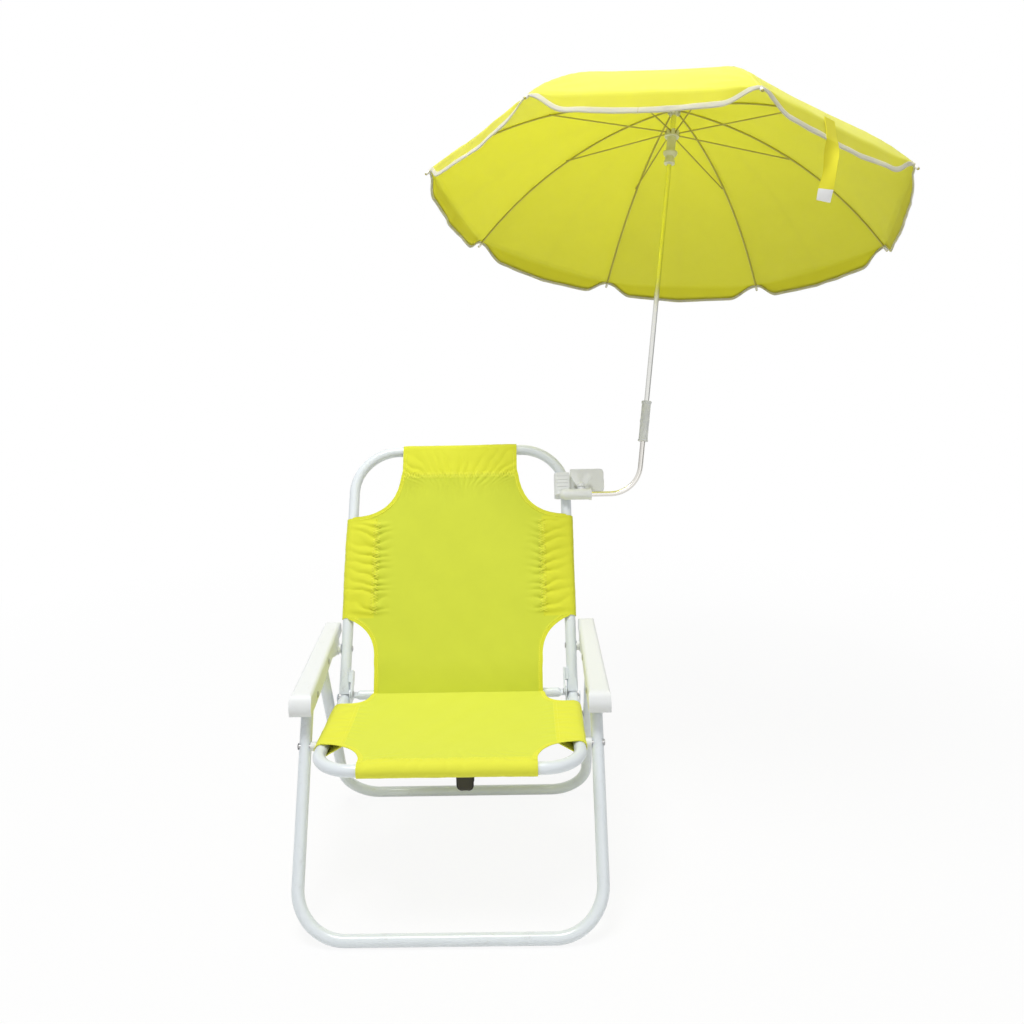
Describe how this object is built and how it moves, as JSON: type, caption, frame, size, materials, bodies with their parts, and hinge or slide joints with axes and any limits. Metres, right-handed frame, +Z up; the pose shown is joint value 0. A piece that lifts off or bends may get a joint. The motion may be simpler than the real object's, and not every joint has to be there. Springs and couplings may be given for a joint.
{
  "type": "umbrella chair",
  "caption": "Low folding beach chair with tubular steel frames, fabric slings, moulded armrests and a clamp-on tilting umbrella that opens and closes.",
  "frame": {"origin": "on the floor, in the middle of the front floor bar", "axes": "+Z up, +Y from the front floor bar to the rear one, +X to the side that carries the umbrella"},
  "size_m": [0.914, 0.9294, 1.0834],
  "materials": {
    "frame_paint": "gloss",
    "rivet_steel": "satin",
    "arm_steel": "polished",
    "rib_steel": "satin",
    "moulded_white": "satin",
    "yellow_fabric": "woven",
    "black_webbing": "woven"
  },
  "bodies": {
    "seat": {"seat_frame": "frame_paint", "rear_crossbar": "frame_paint", "seat_sling": "yellow_fabric", "carry_strap": "black_webbing", "leg_pivot_rivets": "rivet_steel", "leg_pivot_spacers": "moulded_white", "hinge_rivets": "rivet_steel", "stay_pivot_rivets": "rivet_steel"},
    "back": {"back_frame": "frame_paint", "back_sling": "yellow_fabric", "arm_rear_rivets": "rivet_steel", "arm_rear_spacers": "moulded_white", "clamp_body": "moulded_white", "clamp_back_jaw": "moulded_white", "clamp_screws": "rivet_steel"},
    "front_leg": {"front_leg_frame": "frame_paint"},
    "arms": {"left_armrest": "moulded_white", "right_armrest": "moulded_white", "arm_front_rivets": "rivet_steel", "rear_leg_rivets": "rivet_steel"},
    "rear_leg": {"rear_leg_frame": "frame_paint", "stay_end_rivets": "rivet_steel"},
    "stays": {"stay_links": "frame_paint"},
    "lock_screw": {"lock_screw": "rivet_steel"},
    "wing_knob": {"wing_knob": "moulded_white"},
    "umbrella_arm": {"umbrella_arm": "arm_steel", "coupling_sleeve": "moulded_white"},
    "canopy": {"shaft": "arm_steel", "top_notch": "moulded_white", "notch_wire": "rib_steel", "top_cap": "moulded_white"},
    "runner": {"runner": "moulded_white", "runner_wire": "rib_steel"},
    "rib_1": {"rib_1": "rib_steel", "canopy_panel_1": "yellow_fabric"},
    "stretcher_1": {"stretcher_1": "rib_steel"},
    "rib_2": {"rib_2": "rib_steel", "canopy_panel_2": "yellow_fabric"},
    "stretcher_2": {"stretcher_2": "rib_steel"},
    "rib_3": {"rib_3": "rib_steel", "canopy_panel_3": "yellow_fabric"},
    "stretcher_3": {"stretcher_3": "rib_steel"},
    "rib_4": {"rib_4": "rib_steel", "canopy_panel_4": "yellow_fabric"},
    "stretcher_4": {"stretcher_4": "rib_steel"},
    "rib_5": {"rib_5": "rib_steel", "canopy_panel_5": "yellow_fabric"},
    "stretcher_5": {"stretcher_5": "rib_steel"},
    "rib_6": {"rib_6": "rib_steel", "canopy_panel_6": "yellow_fabric"},
    "stretcher_6": {"stretcher_6": "rib_steel"},
    "rib_7": {"rib_7": "rib_steel", "canopy_panel_7": "yellow_fabric", "tie_strap": "yellow_fabric"},
    "stretcher_7": {"stretcher_7": "rib_steel"},
    "rib_8": {"rib_8": "rib_steel", "canopy_panel_8": "yellow_fabric"},
    "stretcher_8": {"stretcher_8": "rib_steel"}
  },
  "joints": [
    {"name": "back_fold", "type": "hinge", "parent": "seat", "child": "back", "pos_m": [0, 0.266, 0.214], "axis": [1, 0, 0], "range_deg": [0, 113]},
    {"name": "front_leg_fold", "type": "hinge", "parent": "seat", "child": "front_leg", "pos_m": [0, 0.11641, 0.20839], "axis": [1, 0, 0], "range_deg": [0, 113], "deforming": ["carry_strap"]},
    {"name": "arm_swing", "type": "hinge", "parent": "back", "child": "arms", "pos_m": [0, 0.30709, 0.26818], "axis": [1, 0, 0], "range_deg": [-113, 0]},
    {"name": "rear_leg_fold", "type": "hinge", "parent": "arms", "child": "rear_leg", "pos_m": [0, 0.23635, 0.27685], "axis": [1, 0, 0], "range_deg": [0, 58.76]},
    {"name": "stay_swing", "type": "hinge", "parent": "seat", "child": "stays", "pos_m": [0, 0.274, 0.2044], "axis": [1, 0, 0], "range_deg": [0, 223.1]},
    {"name": "lock_slide", "type": "slide", "parent": "back", "child": "lock_screw", "axis": [0, 0.5563, 0.831], "range_m": [0, 0.006]},
    {"name": "knob_turn", "type": "hinge", "parent": "lock_screw", "child": "wing_knob", "pos_m": [0.1896, 0.42264, 0.47136], "axis": [0, 0.5563, 0.831], "range_deg": [0, 1440]},
    {"name": "umbrella_tilt", "type": "hinge", "parent": "back", "child": "umbrella_arm", "pos_m": [0.277, 0.42264, 0.47136], "axis": [1, 0, 0], "range_deg": [-35, 75]},
    {"name": "canopy_turn", "type": "hinge", "parent": "umbrella_arm", "child": "canopy", "pos_m": [0.29041, 0.4562, 0.57525], "axis": [0.1219, 0.3051, 0.9445], "continuous": true},
    {"name": "runner_slide", "type": "slide", "parent": "canopy", "child": "runner", "axis": [-0.1219, -0.3051, -0.9445], "range_m": [0, 0.33967]},
    {"name": "rib_1_hinge", "type": "hinge", "parent": "canopy", "child": "rib_1", "pos_m": [0.36064, 0.61329, 1.05754], "axis": [-0.1553, 0.9457, -0.2854], "range_deg": [0, 64], "deforming": ["canopy_panel_1"]},
    {"name": "stretcher_1_hinge", "type": "hinge", "parent": "runner", "child": "stretcher_1", "pos_m": [0.35588, 0.60379, 1.01887], "axis": [0.1553, -0.9457, 0.2854], "range_deg": [0, 79.15]},
    {"name": "rib_2_hinge", "type": "hinge", "parent": "canopy", "child": "rib_2", "pos_m": [0.35747, 0.61838, 1.0563], "axis": [-0.803, 0.5896, -0.0868], "range_deg": [0, 64], "deforming": ["canopy_panel_2"]},
    {"name": "stretcher_2_hinge", "type": "hinge", "parent": "runner", "child": "stretcher_2", "pos_m": [0.35067, 0.60824, 1.01811], "axis": [0.803, -0.5896, 0.0868], "range_deg": [0, 79.15]},
    {"name": "rib_3_hinge", "type": "hinge", "parent": "canopy", "child": "rib_3", "pos_m": [0.35156, 0.61996, 1.05655], "axis": [-0.9803, -0.1119, 0.1626], "range_deg": [0, 64], "deforming": ["canopy_panel_3"]},
    {"name": "stretcher_3_hinge", "type": "hinge", "parent": "runner", "child": "stretcher_3", "pos_m": [0.34386, 0.60797, 1.01907], "axis": [0.9803, 0.1119, -0.1626], "range_deg": [0, 79.15]},
    {"name": "rib_4_hinge", "type": "hinge", "parent": "canopy", "child": "rib_4", "pos_m": [0.34638, 0.61711, 1.05814], "axis": [-0.5834, -0.7478, 0.3168], "range_deg": [0, 64], "deforming": ["canopy_panel_4"]},
    {"name": "stretcher_4_hinge", "type": "hinge", "parent": "runner", "child": "stretcher_4", "pos_m": [0.33943, 0.60314, 1.0212], "axis": [0.5834, 0.7478, -0.3168], "range_deg": [0, 79.15]},
    {"name": "rib_5_hinge", "type": "hinge", "parent": "canopy", "child": "rib_5", "pos_m": [0.34496, 0.6115, 1.06014], "axis": [0.1553, -0.9457, 0.2854], "range_deg": [0, 64], "deforming": ["canopy_panel_5"]},
    {"name": "stretcher_5_hinge", "type": "hinge", "parent": "runner", "child": "stretcher_5", "pos_m": [0.33998, 0.59659, 1.02325], "axis": [-0.1553, 0.9457, -0.2854], "range_deg": [0, 79.15]},
    {"name": "rib_6_hinge", "type": "hinge", "parent": "canopy", "child": "rib_6", "pos_m": [0.34813, 0.60641, 1.06137], "axis": [0.803, -0.5896, 0.0868], "range_deg": [0, 64], "deforming": ["canopy_panel_6"]},
    {"name": "stretcher_6_hinge", "type": "hinge", "parent": "runner", "child": "stretcher_6", "pos_m": [0.34519, 0.59214, 1.02401], "axis": [-0.803, 0.5896, -0.0868], "range_deg": [0, 79.15]},
    {"name": "rib_7_hinge", "type": "hinge", "parent": "canopy", "child": "rib_7", "pos_m": [0.35404, 0.60483, 1.06112], "axis": [0.9803, 0.1119, -0.1626], "range_deg": [0, 64], "deforming": ["canopy_panel_7", "tie_strap"]},
    {"name": "stretcher_7_hinge", "type": "hinge", "parent": "runner", "child": "stretcher_7", "pos_m": [0.352, 0.59241, 1.02304], "axis": [-0.9803, -0.1119, 0.1626], "range_deg": [0, 79.15]},
    {"name": "rib_8_hinge", "type": "hinge", "parent": "canopy", "child": "rib_8", "pos_m": [0.35923, 0.60768, 1.05953], "axis": [0.5834, 0.7478, -0.3168], "range_deg": [0, 64], "deforming": ["canopy_panel_8"]},
    {"name": "stretcher_8_hinge", "type": "hinge", "parent": "runner", "child": "stretcher_8", "pos_m": [0.35643, 0.59724, 1.02091], "axis": [-0.5834, -0.7478, 0.3168], "range_deg": [0, 79.15]}
  ],
  "couplings": [
    {"joint": "front_leg_fold", "follows": "back_fold", "ratio": 1},
    {"joint": "arm_swing", "follows": "back_fold", "ratio": -1},
    {"joint": "rear_leg_fold", "follows": "back_fold", "ratio": 0.52},
    {"joint": "stay_swing", "follows": "back_fold", "ratio": 1.9744},
    {"joint": "knob_turn", "follows": "lock_slide", "rad_per_m": 4188.8},
    {"joint": "rib_1_hinge", "follows": "runner_slide", "rad_per_m": 3.2885},
    {"joint": "stretcher_1_hinge", "follows": "runner_slide", "rad_per_m": 4.0669},
    {"joint": "rib_2_hinge", "follows": "runner_slide", "rad_per_m": 3.2885},
    {"joint": "stretcher_2_hinge", "follows": "runner_slide", "rad_per_m": 4.0669},
    {"joint": "rib_3_hinge", "follows": "runner_slide", "rad_per_m": 3.2885},
    {"joint": "stretcher_3_hinge", "follows": "runner_slide", "rad_per_m": 4.0669},
    {"joint": "rib_4_hinge", "follows": "runner_slide", "rad_per_m": 3.2885},
    {"joint": "stretcher_4_hinge", "follows": "runner_slide", "rad_per_m": 4.0669},
    {"joint": "rib_5_hinge", "follows": "runner_slide", "rad_per_m": 3.2885},
    {"joint": "stretcher_5_hinge", "follows": "runner_slide", "rad_per_m": 4.0669},
    {"joint": "rib_6_hinge", "follows": "runner_slide", "rad_per_m": 3.2885},
    {"joint": "stretcher_6_hinge", "follows": "runner_slide", "rad_per_m": 4.0669},
    {"joint": "rib_7_hinge", "follows": "runner_slide", "rad_per_m": 3.2885},
    {"joint": "stretcher_7_hinge", "follows": "runner_slide", "rad_per_m": 4.0669},
    {"joint": "rib_8_hinge", "follows": "runner_slide", "rad_per_m": 3.2885},
    {"joint": "stretcher_8_hinge", "follows": "runner_slide", "rad_per_m": 4.0669}
  ]
}
